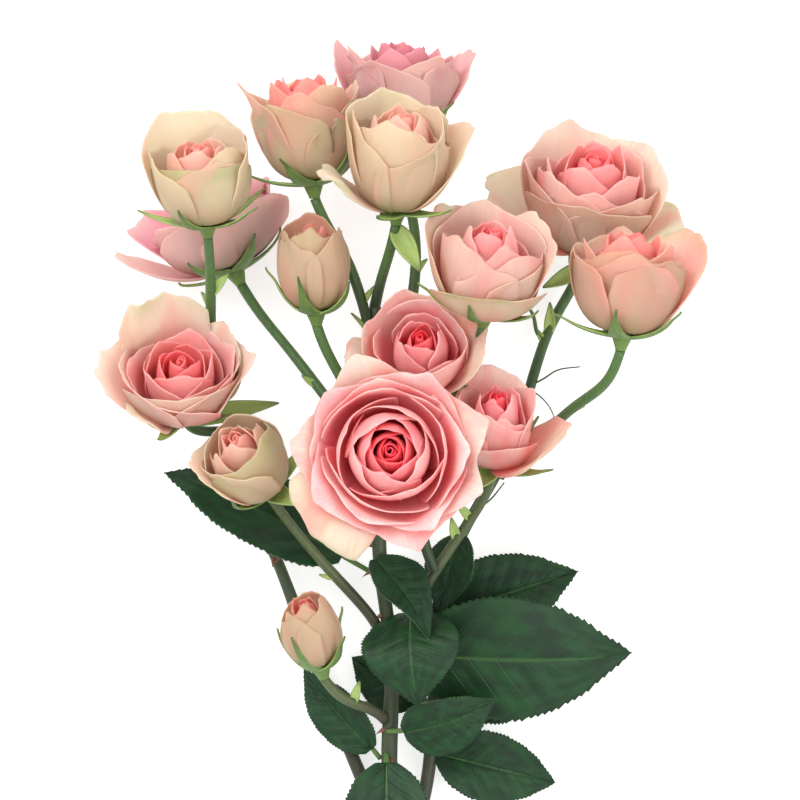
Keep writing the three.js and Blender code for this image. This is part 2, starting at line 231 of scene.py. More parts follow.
def relax(line, rounds):
    """Rounds off the bends of a line and leaves its ends in place."""
    line = line.copy()
    for _ in range(rounds):
        line[1:-1] = 0.25 * line[:-2] + 0.5 * line[1:-1] + 0.25 * line[2:]
    return line


def smoothstep(low, high, x):
    """Goes smoothly from 0 to 1 as x goes from low to high."""
    t = np.clip((x - low) / (high - low), 0, 1)
    return t * t * (3 - 2 * t)


# ---- petals -------------------------------------------------------------------------


def turned(radial, lateral, rise, angle):
    """Points given outward, sideways and up from a head's axis, turned round it by an angle."""
    return np.stack([
        radial * math.cos(angle) - lateral * math.sin(angle),
        radial * math.sin(angle) + lateral * math.cos(angle),
        rise,
    ], -1)


def bezier(controls, t):
    """A cubic curve through the first and last of four control points."""
    p0, p1, p2, p3 = controls
    t = t[..., None]
    return (1 - t) ** 3 * p0 + 3 * (1 - t) ** 2 * t * p1 + 3 * (1 - t) * t * t * p2 + t**3 * p3


class Petal(NamedTuple):
    """One outer petal. Sizes are shares of the head's radius or height; angles are degrees
    round the head's axis, where 0 is to the right and 90 is the side away from the viewer."""

    angle: float
    rim: float  # how far out its rim stands
    rise: float  # how high its rim stands
    width: float  # half its width
    curl: float = 3.0  # how far its tip rolls outward, mm
    roll: float = 2.0  # how far its edges roll outward, mm
    cream: float = 0.4  # 0 pink to 1 cream with green
    crest: float = 0.0  # height of the bend below the rim, when it isn't a plain cup
    point: float = 0.10  # how pointed its tip is
    belly: float = 1.0  # how wide it stands low down


PETAL_FOOT_THICKNESS = 0.6 * MM
PETAL_RIM_THICKNESS = 0.28 * MM
OUTER_WAVE = 1.2  # how wavy the outer petals are
FULL_TURN = 6.28  # the phase of a wave is drawn from 0 to this


def add_petal(sheets, placing, petal, radius, height, foot, depth, spiral, wave, rng):
    """A sheet bent round the head's axis on a profile from foot over belly to rim."""
    origin, axes = placing
    rows, columns = (26, 33) if depth < 0.5 else (18, 25)
    u = np.linspace(-1, 1, columns)[None, :]
    v = np.linspace(0, 1, rows)[:, None] ** 0.8
    notch = 1 - 0.20 * np.abs(u) ** 2.6 - petal.point * np.minimum(1, (np.abs(u) / 0.5)) ** 1.2
    turns = rng.uniform(0, FULL_TURN, 2)
    notch = notch + 0.018 * wave * (np.sin(6.5 * u + turns[0]) + 0.6 * np.sin(14 * u + turns[1]))
    up = v * notch
    belly = petal.belly * radius
    rim = petal.rim * radius
    top = petal.rise * height
    flare = rim - belly
    shoulder = belly + (0.30 * flare if flare > 0 else -0.25 * flare)
    bend = (petal.crest or 0.66 * petal.rise) * height
    if petal.crest:
        shoulder = belly + 0.55 * flare
    controls = [np.array([max(0.22 * belly, 0.8 * MM), foot]), np.array([1.02 * belly, foot]),
                np.array([shoulder, bend]), np.array([rim, top])]
    profile = bezier(controls, up)
    spread = profile[..., 0]
    rise = profile[..., 1]
    half_width = petal.width * radius
    width = half_width * (0.28 + 0.72 * np.sin(np.pi / 2 * np.clip(up / 0.6, 0, 1)))
    width = width * (1 - 0.16 * smoothstep(0.75, 1.0, up))
    bow = np.maximum(spread * (1 + (0.18 + 0.35 * max(flare, 0) / radius) * up), 0.9 * MM)
    beta = np.clip(u * width / bow, -2.7, 2.7)
    tip = np.clip((up - 0.66) / 0.34, 0, None)
    edge = np.clip((np.abs(u) - 0.45) / 0.55, 0, None)
    pleat = 0.55 + 0.75 * np.sin(np.pi * np.clip(np.abs(u), 0, 1)) ** 1.5
    curl = petal.curl * MM
    roll = petal.roll * MM
    out = curl * tip**1.6 + roll * edge**1.8 * smoothstep(0.2, 0.8, up)
    down = 0.85 * curl * pleat * tip**2.4 + 0.5 * roll * edge**2 * smoothstep(0.3, 0.9, up)
    phase = rng.uniform(0, FULL_TURN, 5)
    ruffle = wave * MM * up**3.5 * (np.sin(3.3 * u + phase[0]) + 0.55 * np.sin(7.1 * u + phase[1])
                                    + 0.28 * np.sin(15 * u + phase[2]))
    fine = 0.12 * MM * up**6 * np.sin(31 * u + phase[4])
    dent = 0.5 * wave * MM * np.sin(2.6 * u + phase[3]) * np.sin(np.pi * up)
    out = out + ruffle * 0.6 + dent + fine
    lift = ruffle * 0.6 - down + fine
    slope = np.gradient(profile, axis=0)
    slope /= np.maximum(np.linalg.norm(slope, axis=-1, keepdims=True), 1e-9)
    outward = np.stack([slope[..., 1], -slope[..., 0]], -1)
    spread = spread + out * outward[..., 0] + lift * slope[..., 0]
    rise = rise + out * outward[..., 1] + lift * slope[..., 1]
    radial = spread - bow * (1 - np.cos(beta)) + spiral * u
    lateral = bow * np.sin(beta) + 0.4 * out * np.sin(beta)
    grid = turned(radial, lateral, rise, math.radians(petal.angle))
    thinning = (PETAL_FOOT_THICKNESS - PETAL_RIM_THICKNESS) * up
    thickness = (PETAL_FOOT_THICKNESS - thinning) * np.ones_like(u)
    grid = to_world(grid, origin, axes)
    grid[..., 2] = np.maximum(grid[..., 2], TABLE_GAP)
    flat = np.ones_like(up * u)
    # the columns run clockwise, so the first side of the sheet faces the axis
    sheets.sheet(grid[:, ::-1], thickness[:, ::-1], reach=(up / notch.max() * flat)[:, ::-1],
                 edge=(v * flat)[:, ::-1], across=(u * flat)[:, ::-1], depth=depth,
                 cream=petal.cream, pick=rng.uniform())


# For each head: tone, where its spiral starts, how many petals fill the middle ring and the
# core, how open the middle ring is, how high the core stands, and its outer petals in order
# from the outermost.
HEAD_LOOKS = {
    "a": ("cream", 300, 4, 8, 0.56, 0.92, [
        Petal(118, 1.02, 1.12, 1.5, 0.8, 0.6, 0.75, point=0.0),
        Petal(40, 0.96, 0.94, 1.4, 0.8, 0.5, 0.55, point=0.0),
        Petal(190, 0.98, 0.92, 1.3, 0.8, 0.6, 0.6),
        Petal(272, 0.74, 0.78, 1.75, 0.6, 0.4, 0.9, point=0.04),
        Petal(320, 0.64, 0.88, 1.2, 0.6, 0.4, 0.3, point=0.06),
    ]),
    # b's mauve outside carries painted light against the shade it lies in
    "b": ("mauve", 20, 6, 8, 0.8, 0.9, [
        Petal(192, 1.85, 0.86, 0.75, 1.5, 0.5, 0.45, crest=0.34, point=0.10),
        Petal(95, 1.10, 1.12, 1.3, 3, 2, 0.1),
        Petal(158, 1.46, 1.18, 1.2, 2.0, 1.2, 0.0, point=0.08),
        Petal(345, 1.48, 0.66, 1.35, 3.0, 2.0, 0.3, crest=0.52, point=0.20),
        Petal(60, 1.25, 0.95, 1.2, 3.5, 2.0, 0.1),
        Petal(300, 1.12, 0.82, 1.35, 2.5, 1.5, 0.25),
        Petal(240, 1.05, 0.80, 1.2, 2.0, 1.2, 0.2),
    ]),
    "c": ("peach", 265, 8, 8, 0.88, 0.98, [
        Petal(100, 1.05, 0.98, 1.4, 3, 2, 0.2),
        Petal(182, 1.12, 0.98, 1.25, 2.6, 1.6, 0.2, point=0.08),
        Petal(20, 1.02, 0.94, 1.25, 2.4, 1.6, 0.35, point=0.18),
        Petal(300, 0.96, 0.90, 1.35, 2.2, 1.4, 0.2, point=0.14),
        Petal(235, 1.04, 0.74, 1.2, 1.6, 1.2, 1.0, point=0.06),
        Petal(330, 0.98, 0.58, 0.95, 2.4, 1.8, 1.0, point=0.08),
        Petal(272, 0.95, 0.62, 1.1, 0.8, 0.8, 1.0, point=0.04),
    ]),
    "d": ("dusky", 60, 8, 8, 0.92, 1.0, [
        Petal(150, 1.36, 0.98, 0.85, 2.4, 1.2, 0.1, crest=0.5, point=0.04),
        Petal(28, 1.42, 1.0, 0.85, 2.2, 1.2, 0.1, crest=0.5, point=0.04),
        Petal(95, 1.05, 1.0, 1.1, 2.4, 1.6, 0.1, point=0.10),
        Petal(195, 1.06, 0.92, 1.0, 1.6, 1.0, 0.1, point=0.06),
        Petal(345, 1.04, 0.90, 1.0, 1.6, 1.0, 0.15, point=0.06),
        Petal(300, 1.08, 0.88, 1.2, 2.4, 1.8, 0.3, point=0.14),
        Petal(235, 1.12, 0.84, 1.2, 3, 2, 0.2, point=0.12),
    ]),
    "e": ("cream", 280, 4, 8, 0.48, 1.02, [
        Petal(194, 1.50, 0.52, 0.80, 4.0, 3.0, 1.0, crest=0.42, point=0.04),
        Petal(22, 1.42, 0.88, 1.35, 1.8, 1.2, 0.75, point=0.16),
        Petal(120, 0.88, 1.12, 1.55, 1.2, 0.9, 0.7, point=0.04),
        Petal(182, 0.84, 0.99, 1.3, 1.0, 0.8, 0.35),
        Petal(325, 0.84, 0.78, 1.4, 1.2, 0.8, 0.55),
        Petal(250, 0.66, 0.97, 1.5, 0.8, 0.6, 0.2, point=0.05),
        Petal(40, 0.62, 1.02, 1.3, 1.0, 0.7, 0.3, point=0.05),
    ]),
    "f": ("bud", 270, 3, 7, 0.36, 0.98, [
        Petal(100, 0.50, 1.06, 1.5, 1.5, 0.8, 0.2),
        Petal(350, 0.62, 0.98, 1.4, 1.6, 1.0, 0.4),
        Petal(205, 0.62, 0.96, 1.4, 1.4, 1.0, 0.4),
        Petal(275, 0.42, 0.98, 1.4, 1.8, 0.8, 0.75, point=0.03),
    ]),
    "g": ("pink", 285, 3, 8, 0.46, 1.0, [
        Petal(135, 1.08, 1.02, 1.4, 1.6, 1.0, 1.0, point=0.04),
        Petal(45, 1.10, 1.0, 1.3, 2.2, 1.6, 0.5, point=0.06),
        Petal(275, 1.00, 0.48, 1.40, 2.6, 1.4, 0.9, point=0.08),
        Petal(335, 0.90, 0.68, 1.15, 1.6, 1.0, 0.5, point=0.04),
        Petal(90, 0.86, 1.04, 1.4, 1.4, 1.0, 0.3, point=0.06),
        Petal(310, 0.76, 0.86, 1.3, 0.9, 0.6, 0.05, point=0.14),
        Petal(215, 0.74, 0.97, 1.45, 0.7, 0.5, 0.2, point=0.12),
    ]),
    "h": ("pink", 270, 6, 9, 0.70, 1.20, [
        Petal(174, 1.74, 0.60, 1.20, 1.2, 0.6, 1.0, crest=0.5, point=0.0),
        Petal(345, 1.60, 0.52, 1.0, 3.5, 2.4, 1.0, crest=0.56, point=0.12),
        Petal(108, 1.06, 1.16, 1.35, 2.0, 1.4, 0.5, point=0.05),
        Petal(35, 1.16, 1.10, 1.2, 2.6, 1.8, 0.45, point=0.06),
        Petal(255, 1.00, 0.92, 1.35, 2.4, 1.4, 0.6, point=0.04),
        Petal(185, 1.02, 1.06, 1.15, 2.2, 1.6, 0.2, point=0.08),
        Petal(310, 0.96, 0.96, 1.2, 2.0, 1.4, 0.35, point=0.06),
        Petal(215, 0.84, 1.08, 1.1, 1.2, 0.8, 0.0, point=0.06),
    ]),
    "i": ("peach", 275, 6, 8, 0.80, 1.0, [
        Petal(32, 1.42, 1.02, 1.15, 1.0, 0.8, 0.0, crest=0.56, point=0.0),
        Petal(100, 1.02, 0.98, 1.3, 1.5, 1.0, 0.1),
        Petal(175, 1.02, 0.82, 1.2, 1.6, 1.0, 0.1, point=0.06),
        Petal(325, 0.90, 0.80, 1.3, 1.0, 0.8, 0.4, point=0.02),
        Petal(262, 0.84, 0.80, 1.7, 0.8, 0.6, 0.6, point=0.0),
    ]),
    "j": ("pink", 255, 7, 9, 0.80, 0.84, [
        Petal(112, 1.06, 1.24, 0.88, 1.2, 0.8, 0.75, point=0.0),
        Petal(172, 1.30, 0.84, 0.70, 3.0, 2.0, 0.3, crest=0.5, point=0.0),
        Petal(228, 1.05, 0.50, 0.5, 3.0, 2.0, 0.9, point=0.06),
        Petal(44, 1.00, 0.84, 0.9, 2.4, 1.6, 0.9, point=0.06),
        Petal(5, 1.14, 0.84, 1.0, 2.6, 1.8, 0.3, point=0.14),
        Petal(285, 0.90, 0.80, 1.45, 1.2, 1.0, 0.4, point=0.04),
        Petal(205, 0.96, 0.86, 1.15, 2.0, 1.4, 0.1, point=0.08),
        Petal(330, 0.92, 0.86, 1.1, 2.0, 1.4, 0.1, point=0.08),
        Petal(90, 0.98, 0.82, 1.0, 2.2, 1.4, 0.0, point=0.12),
    ]),
    "k": ("coral", 300, 3, 9, 0.56, 0.96, [
        Petal(190, 1.75, 0.48, 0.8, 2.0, 1.5, 0.7, crest=0.5, point=0.04),
        Petal(15, 1.36, 1.00, 1.2, 2.2, 1.4, 0.75, point=0.04),
        Petal(120, 1.12, 1.0, 1.45, 1.8, 1.2, 0.45, point=0.08),
        Petal(215, 0.96, 0.86, 1.3, 1.2, 0.8, 0.1),
        Petal(300, 0.84, 0.88, 1.4, 1.2, 0.8, 0.05, point=0.06),
        Petal(70, 0.80, 0.96, 1.3, 1.2, 0.8, 0.05, point=0.06),
    ]),
    "l": ("cream", 230, 3, 8, 0.42, 1.0, [
        Petal(128, 0.62, 0.90, 1.3, 0.6, 0.4, 0.4, point=0.04),
        Petal(195, 1.08, 0.78, 1.15, 2.0, 1.4, 0.0, point=0.06),
        Petal(250, 0.86, 0.82, 1.2, 1.2, 1.0, 0.1, point=0.05),
        Petal(335, 0.60, 0.88, 1.8, 0.9, 0.6, 1.0, point=0.06),
    ]),
    "m": ("coral", 100, 8, 16, 0.60, 0.90, [
        Petal(224, 1.66, 0.20, 0.72, 2.5, 1.5, 1.0, crest=0.46, point=0.02),
        Petal(108, 1.44, 0.56, 0.95, 2.5, 2.2, 0.6, point=0.26),
        Petal(172, 1.38, 0.48, 0.92, 2.8, 2.4, 0.4, point=0.22),
        Petal(20, 1.38, 0.56, 0.92, 2.8, 2.4, 0.45, point=0.24),
        Petal(286, 1.38, 0.44, 0.95, 3.2, 2.4, 0.15, point=0.26),
        Petal(334, 1.34, 0.50, 0.86, 2.8, 2.4, 0.25, point=0.24),
        Petal(66, 1.14, 0.66, 0.98, 3.2, 2.4, 0.1, point=0.22),
        Petal(140, 1.12, 0.62, 0.95, 3.4, 2.4, 0.0, point=0.22),
        Petal(212, 1.14, 0.58, 0.98, 3.8, 2.6, 0.0, point=0.24),
        Petal(300, 1.06, 0.62, 0.98, 3.8, 2.6, 0.0, point=0.24),
        Petal(0, 0.92, 0.74, 0.95, 3.4, 2.2, 0.0, point=0.20),
        Petal(100, 0.86, 0.76, 0.98, 3.2, 2.2, 0.0, point=0.18),
        Petal(245, 0.88, 0.72, 1.02, 3.6, 2.2, 0.0, point=0.20),
    ]),
    "n": ("coral", 280, 3, 8, 0.55, 1.0, [
        Petal(342, 1.85, 0.58, 1.35, -0.5, 1.0, 0.7, crest=0.30, point=0.0),
        Petal(110, 0.98, 1.06, 1.5, 1.4, 1.0, 0.3, point=0.08),
        Petal(180, 0.86, 0.96, 1.3, 1.2, 0.8, 0.1),
        Petal(20, 0.86, 0.96, 1.2, 1.2, 0.8, 0.1),
        Petal(285, 1.14, 0.60, 1.4, 1.2, 0.6, 0.1, point=0.14),
        Petal(250, 0.74, 0.86, 1.3, 0.8, 0.5, 0.0, point=0.08),
    ]),
    "o": ("bud", 270, 2, 6, 0.24, 1.02, [
        Petal(100, 0.34, 1.04, 1.6, 0.6, 0.4, 0.2),
        Petal(350, 0.46, 0.96, 1.5, 0.9, 0.6, 0.5),
        Petal(215, 0.46, 0.94, 1.5, 0.8, 0.6, 0.5),
        Petal(285, 0.34, 0.98, 1.4, 0.8, 0.4, 0.7),
    ]),
}


def measure_cup(letter, origin, axes):
    """Radius at mid height and the height of a head's cup, from its solid."""
    local = to_local(points_of(f"petals_{letter}"), origin, axes)
    height = local[:, 2].max()
    middle = local[np.abs(local[:, 2] - 0.44 * height) < 0.07 * height]
    radius = np.median(np.linalg.norm(middle[:, :2], axis=1))
    return radius, height


def make_petals(letter, origin, axes):
    """All petals of a head: its outer ones, a middle ring and a tight core on one spiral."""
    tone, turn, ring_count, core_count, ring_open, core_rise, outer = HEAD_LOOKS[letter]
    rng = np.random.default_rng(PETAL_SEED + HEADS.index(letter))
    radius, height = measure_cup(letter, origin, axes)
    sheets = Sheets()
    placing = (origin, axes)
    for i, petal in enumerate(outer):
        shaped = petal._replace(belly=petal.belly * (0.98 - 0.05 * i / len(outer)))
        add_petal(sheets, placing, shaped, radius, height, 0.0, 0.15 * i / len(outer),
                  0.04 * radius, OUTER_WAVE, rng)
    inner = ring_count + core_count
    for i in range(inner):
        angle = turn + GOLDEN_TURN * i + rng.uniform(-9, 9)
        if i < ring_count:
            f = (i + 0.5) / ring_count
            rim = ring_open * (1.24 - 0.74 * f) + 0.04
            belly = 0.92 - 0.36 * f
            rise = core_rise * (0.88 + 0.10 * f)
            petal = Petal(angle, rim, rise, 1.02 - 0.2 * f, 3.0 * (1.1 - 0.7 * f) * ring_open,
                          1.8 * (1 - 0.5 * f), 0.0, 0.0, 0.13, belly)
        else:
            f = (i - ring_count) / max(core_count - 1, 1)
            rim = ring_open * 0.50 * (1 - f) ** 0.9 + 0.02
            belly = 0.52 * (1 - f) + 0.10
            rise = core_rise * (0.985 - 0.05 * f)
            petal = Petal(angle, rim, rise, 0.26 + 0.66 * belly, 0.9 * (1 - f) + 0.15,
                          0.8 * (1 - f) + 0.1, 0.0, 0.0, 0.06 * (1 - f), belly)
        depth = 0.25 + 0.75 * (i + 1) / inner
        add_petal(sheets, placing, petal, radius, height, 0.02 * height * i / inner, depth,
                  0.05 * radius, 1.5 * (1 - depth) + 0.15, rng)
    piece = sheets.build(f"head_{letter}_petals", PETAL_MATERIALS[tone])
    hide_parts(f"petals_{letter}")
    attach(piece, "root")


# ---- calyx --------------------------------------------------------------------------

SEPALS = 5
SEPAL_THICKNESS = 0.55 * MM


def sepal_tips(letter, origin, axes):
    """For each of the five sepals its angle, and how far out and how high its tip is."""
    local = to_local(points_of(f"calyx_{letter}"), origin, axes)
    tips = []
    azimuth = np.arctan2(local[:, 1], local[:, 0])
    for k in range(SEPALS):
        angle = 2 * math.pi * (k + 0.5) / SEPALS
        off = np.abs((azimuth - angle + math.pi) % (2 * math.pi) - math.pi)
        near = local[off < math.radians(20)]
        hip_end = np.array([0, 0, -HIP_HEIGHT])
        tip = near[np.argmax(np.linalg.norm(near - hip_end, axis=1))]
        tips.append((angle, float(np.hypot(tip[0], tip[1])), float(tip[2])))
    return tips


def make_calyx(letter, origin, axes):
    """The swollen hip under a head and its sepals, which end where the solid's do."""
    rng = np.random.default_rng(CALYX_SEED + HEADS.index(letter))
    radius, _ = measure_cup(letter, origin, axes)
    sheets = Sheets()
    for angle, reach, tip_height in sepal_tips(letter, origin, axes):
        rows, columns = 34, 11
        v = np.linspace(0, 1, rows)[:, None]
        u = np.linspace(-1, 1, columns)[None, :]
        belly = min(radius + 1.2 * MM, reach + 1.5 * MM)
        controls = [np.array([0.45 * HIP_RADIUS, -2.2 * MM]),
                    np.array([0.55 * max(reach, radius), -2.0 * MM]),
                    np.array([max(0.85 * reach, belly), 0.4 * tip_height]),
                    np.array([reach, tip_height])]
        profile = bezier(controls, v)
        half = (4.4 * (1 - v) ** 1.3 * smoothstep(-0.3, 0.22, v) + 0.28) * MM
        curl = rng.uniform(-1.5, 2.5) * MM * smoothstep(0.7, 1.0, v) ** 2
        cup = 0.22 * half * u**2
        tangent = np.gradient(profile[:, 0], axis=0)
        normal = np.stack([-tangent[:, 1], tangent[:, 0]], -1)
        normal /= np.linalg.norm(normal, axis=-1, keepdims=True)
        radial = profile[..., 0] + normal[:, :1] * cup + curl
        upward = profile[..., 1] + normal[:, 1:] * cup + 0 * u
        lateral = half * u + rng.uniform(-1.5, 1.5) * MM * v**2
        grid = turned(radial, lateral, upward, angle)
        sheets.sheet(to_world(grid[:, ::-1], origin, axes), SEPAL_THICKNESS,
                     reach=(v * np.ones_like(u))[:, ::-1], across=(u * np.ones_like(v))[:, ::-1],
                     pick=rng.uniform())
    t = np.linspace(0, 1, 14)
    bulge = HIP_RADIUS * (0.5 + 0.5 * np.sin(np.pi / 2 * t) ** 1.3)
    line = origin + axes[:, 2] * (-HIP_HEIGHT + t[:, None] * (HIP_HEIGHT - 0.2 * MM))
    sheets.tube(line, bulge, sides=24, reach=0.2, across=0.0, side=1.0)
    piece = sheets.build(f"head_{letter}_calyx", SEPAL_MATERIAL)
    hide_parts(f"calyx_{letter}")
    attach(piece, "root")


# ---- stems --------------------------------------------------------------------------

THORN_LENGTH = 3.6 * MM
THORN_HOOK = 1.3 * MM  # how far a thorn's tip bends back toward the stem's foot
THORN_RADIUS = 1.1 * MM
THORN_TIP_RADIUS = 0.08 * MM
STEM_BUMP_LENGTHS = (11 * MM, 5 * MM)  # the unevenness of a stem repeats at about these


def make_stem(node, line, radii, material, thorns, seed):
    """A stem along a line from foot to top, slightly uneven, with thorns on the woody ones."""
    rng = np.random.default_rng(seed)
    fine = relax(smooth_line(line, 1.6 * MM), 60)
    t = np.linspace(0, 1, len(fine))
    radius = np.interp(t, [0, 1], radii)
    phase = rng.uniform(0, FULL_TURN, 3)
    length = np.linalg.norm(np.diff(line, axis=0), axis=1).sum()
    radius = radius * (1 + 0.03 * np.sin(t * length / STEM_BUMP_LENGTHS[0] + phase[0])
                       + 0.02 * np.sin(t * length / STEM_BUMP_LENGTHS[1] + phase[1]))
    sheets = Sheets()
    sheets.tube(fine, radius, sides=20, reach=t[:, None], across=0.0, depth=0.0,
                pick=rng.uniform())
    for _ in range(thorns):
        i = int(rng.uniform(0.03, 0.97) * (len(fine) - 2))
        along = fine[i + 1] - fine[i]
        along /= np.linalg.norm(along)
        out = rng.normal(size=3)
        out -= along * (out @ along)
        out /= np.linalg.norm(out)
        s = np.linspace(0, 1, 7)[:, None]
        size = rng.uniform(0.7, 1.3)
        spine = fine[i] + out * (radius[i] * 0.8 + s * THORN_LENGTH * size)
        spine = spine - along * s**2 * THORN_HOOK * size
        if spine[:, 2].min() < 0.2 * MM:
            continue
        radii_up = (THORN_RADIUS * (1 - s[:, 0]) ** 1.4 + THORN_TIP_RADIUS) * size
        sheets.tube(spine, radii_up, sides=10, reach=0.0, depth=1.0, pick=rng.uniform())
    piece = sheets.build(f"{node}_look", material)
    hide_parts(node)
    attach(piece, "root")
    return fine


# ---- leaflets -----------------------------------------------------------------------


def leaf_frame(node, stems):
    """A leaflet's foot and tip, its axes, length and half width, and its blade's start, arch
    and fold."""
    points = points_of(node)
    gap = np.linalg.norm(points[:, None] - stems[None], axis=2).min(1)
    foot = points[np.argmin(gap)]
    tip = points[np.argmax(np.linalg.norm(points - foot, axis=1))]
    along = tip - foot
    length = np.linalg.norm(along)
    along /= length
    share = (points - foot) @ along / length
    blade = points[share > 0.35]
    flat = (blade - tip) - np.outer((blade - tip) @ along, along)
    side = np.linalg.svd(flat - flat.mean(0))[2][0]
    side -= along * (side @ along)
    side /= np.linalg.norm(side)
    up = np.cross(side, along)
    if up[2] < 0:
        side, up = -side, -up
    across = (points - tip) @ side
    half = np.abs(across[share > 0.35]).max()
    start = share[np.abs(across) > 0.3 * half].min() - 0.02
    middle = np.abs(across) < 0.2 * half
    rise = (points - tip) @ up
    fit = np.polyfit(share[middle & (share > start)], rise[middle & (share > start)], 2)
    edges = np.abs(across) > 0.85 * half
    fold = (rise[edges] - np.polyval(fit, share[edges])).mean()
    return foot, tip, along, side, up, length, half, start, fit, fold


LEAF_VEINS = 8
LEAF_TEETH = 30
LEAF_THICKNESS = 0.4 * MM
PETIOLE_RADIUS = 0.85 * MM
RIB_RADIUS = 0.75 * MM  # of the rib under the blade, at the blade's base


def make_leaf(index, stems):
    """A toothed, quilted blade on the solid's own arch and fold, with its stalk and rib."""
    node = f"leaflet_{index}"
    rng = np.random.default_rng(LEAF_SEED + index)
    foot, tip, along, side, up, length, half, start, fit, fold = leaf_frame(node, stems)
    rows, columns = 97, 33
    t = np.linspace(0, 1, rows)[:, None]
    u = np.linspace(-1, 1, columns)[None, :]
    outline = 0.9 * np.sin(np.pi * np.clip(0.03 + 0.97 * t, 0, 1) ** 0.78) ** 0.8
    outline = outline * (1 - 0.25 * smoothstep(0.75, 1.0, t)) + 0.012
    saw = (t * LEAF_TEETH) % 1.0
    teeth = 0.055 * (1 - saw) ** 1.2 * smoothstep(0.02, 0.12, t) * smoothstep(1.0, 0.93, t)
    width = half * (outline - 0.03 + teeth * np.abs(u) ** 6)
    share = start + (1 - start) * t
    lift = np.polyval(fit, share)
    phase = rng.uniform(0, FULL_TURN, 3)
    vein = (t * LEAF_VEINS - 1.9 * np.abs(u) * outline + 0.5) % 1.0
    quilt = 0.55 * MM * (np.sin(np.pi * vein) ** 0.7 - 0.6)
    quilt = quilt * np.minimum(1, 4 * np.abs(u)) * (1 - u**4)
    edge_wave = 1.1 * MM * np.abs(u) ** 2 * np.sin(9 * t + phase[0] + 2 * np.sign(u))
    bend = -0.10 * half * smoothstep(0.8, 1.0, t) * rng.uniform(0, 2)
    rise = lift + (fold * np.abs(u) ** 1.3 + quilt + edge_wave) * outline + bend
    rise = rise - 0.5 * MM * np.exp(-((u / 0.05) ** 2))
    grid = (foot + along * (length * share)[..., None] + side * (width * u)[..., None]
            + up * (rise + (tip - foot) @ up)[..., None])
    grid[..., 2] = np.maximum(grid[..., 2], TABLE_GAP)
    sheets = Sheets()
    ones = np.ones((rows, columns))
    sheets.sheet(grid, LEAF_THICKNESS, reach=t * ones, across=u * ones, pick=rng.uniform())
    under = grid[:, columns // 2] - up * 0.35 * MM
    taper = (1.0 - 0.8 * np.linspace(0, 1, rows)) * RIB_RADIUS
    petiole = smooth_line(np.vstack([foot, (foot + under[0]) / 2, under[0]]), 1.0 * MM)[:-1]
    line = np.vstack([petiole, under[:-4]])
    radii = np.concatenate([np.full(len(petiole), PETIOLE_RADIUS), taper[:-4]])
    line[:, 2] = np.maximum(line[:, 2], radii + 0.05 * MM)
    sheets.tube(line, radii, sides=10, reach=0.5, across=0.0, side=1.0, depth=1.0, pick=0.5)
    piece = sheets.build(f"{node}_look", LEAF_MATERIAL)
    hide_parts(node)
    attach(piece, "root")


# ---- side shoots --------------------------------------------------------------------


class Shoot(NamedTuple):
    """A bract, small bud or hanging sepal on a stalk."""

    stem: str  # the letter of its stalk
    share: float  # how far up the stem it grows
    way: tuple  # the direction from its foot to its tip
    length: float  # mm
    width: float  # mm
    curl: float = 0.0  # how far its tip bends sideways, mm


BRACT_THICKNESS = 0.5 * MM
BRACTS = [
    Shoot("a", 0.70, (0.5, 0.8, 0.2), 9, 4.4, 1.5),
    Shoot("a", 0.64, (-0.3, 0.8, 0.2), 6, 2.4, -1.0),
    Shoot("b", 0.52, (-0.8, 0.35, 0.3), 6, 2.6, 1.0),
    Shoot("b", 0.40, (0.6, 0.6, 0.3), 6, 2.2, -1.0),
    Shoot("c", 0.10, (-0.5, 0.8, 0.2), 9, 1.6, -1.5),
    Shoot("c", 0.30, (0.4, 0.85, 0.1), 7, 2.2, 1.0),
    Shoot("d", 0.55, (-0.3, 0.9, 0.3), 8, 3.0, -1.0),
    Shoot("d", 0.52, (0.5, 0.8, 0.2), 6, 2.6, 1.0),
    Shoot("f", 0.30, (-0.85, 0.3, 0.2), 6, 1.5, 1.0),
    Shoot("h", 0.56, (0.25, 0.95, 0.3), 10, 4.6, -2.0),
    Shoot("h", 0.50, (-0.6, 0.7, 0.2), 5, 2.6, 0.5),
    Shoot("i", 0.50, (0.8, 0.5, 0.2), 7, 1.8, 1.0),
    Shoot("n", 0.62, (-0.3, 0.9, 0.5), 8, 4.0, 0.5),
    Shoot("n", 0.74, (-0.8, 0.7, 0.5), 8, 3.6, 1.0),
    Shoot("n", 0.90, (-0.9, 0.2, 0.3), 7, 1.6, 1.0),
    Shoot("l", 0.45, (-0.9, 0.1, 0.2), 6, 2.0, 0.5),
    Shoot("o", 0.55, (0.2, 0.95, 0.4), 8, 3.6, 0.6),
    Shoot("o", 0.25, (-0.6, 0.5, 0.2), 5, 2.4, 0.5),
    # long sepals that hang free under their head
    Shoot("e", 0.97, (0.60, -0.78, 0.1), 16, 9, 2.0),
    Shoot("j", 0.97, (0.97, 0.20, -0.05), 31, 9, 1.0),
    Shoot("h", 0.97, (-0.8, -0.5, 0.1), 14, 7, 1.0),
]

# a stem, how far up it the twig starts, the points it passes relative to that start in
# millimetres, and its radius in millimetres
TWIGS = [
    ("h", 0.50, [(-2.5, 3, 1), (-4, 9, 3), (-8, 13, 5), (-14, 14, 7)], 0.75),
    ("h", 0.26, [(4, 2, 1), (9, 5, 2), (16, 6, 3)], 0.35),
    ("h", 0.24, [(4, -3, 1), (7, -7, 2), (9, -13, 3)], 0.28),
    ("n", 0.80, [(5, 4, -1), (9, 9, -2)], 0.4),
]


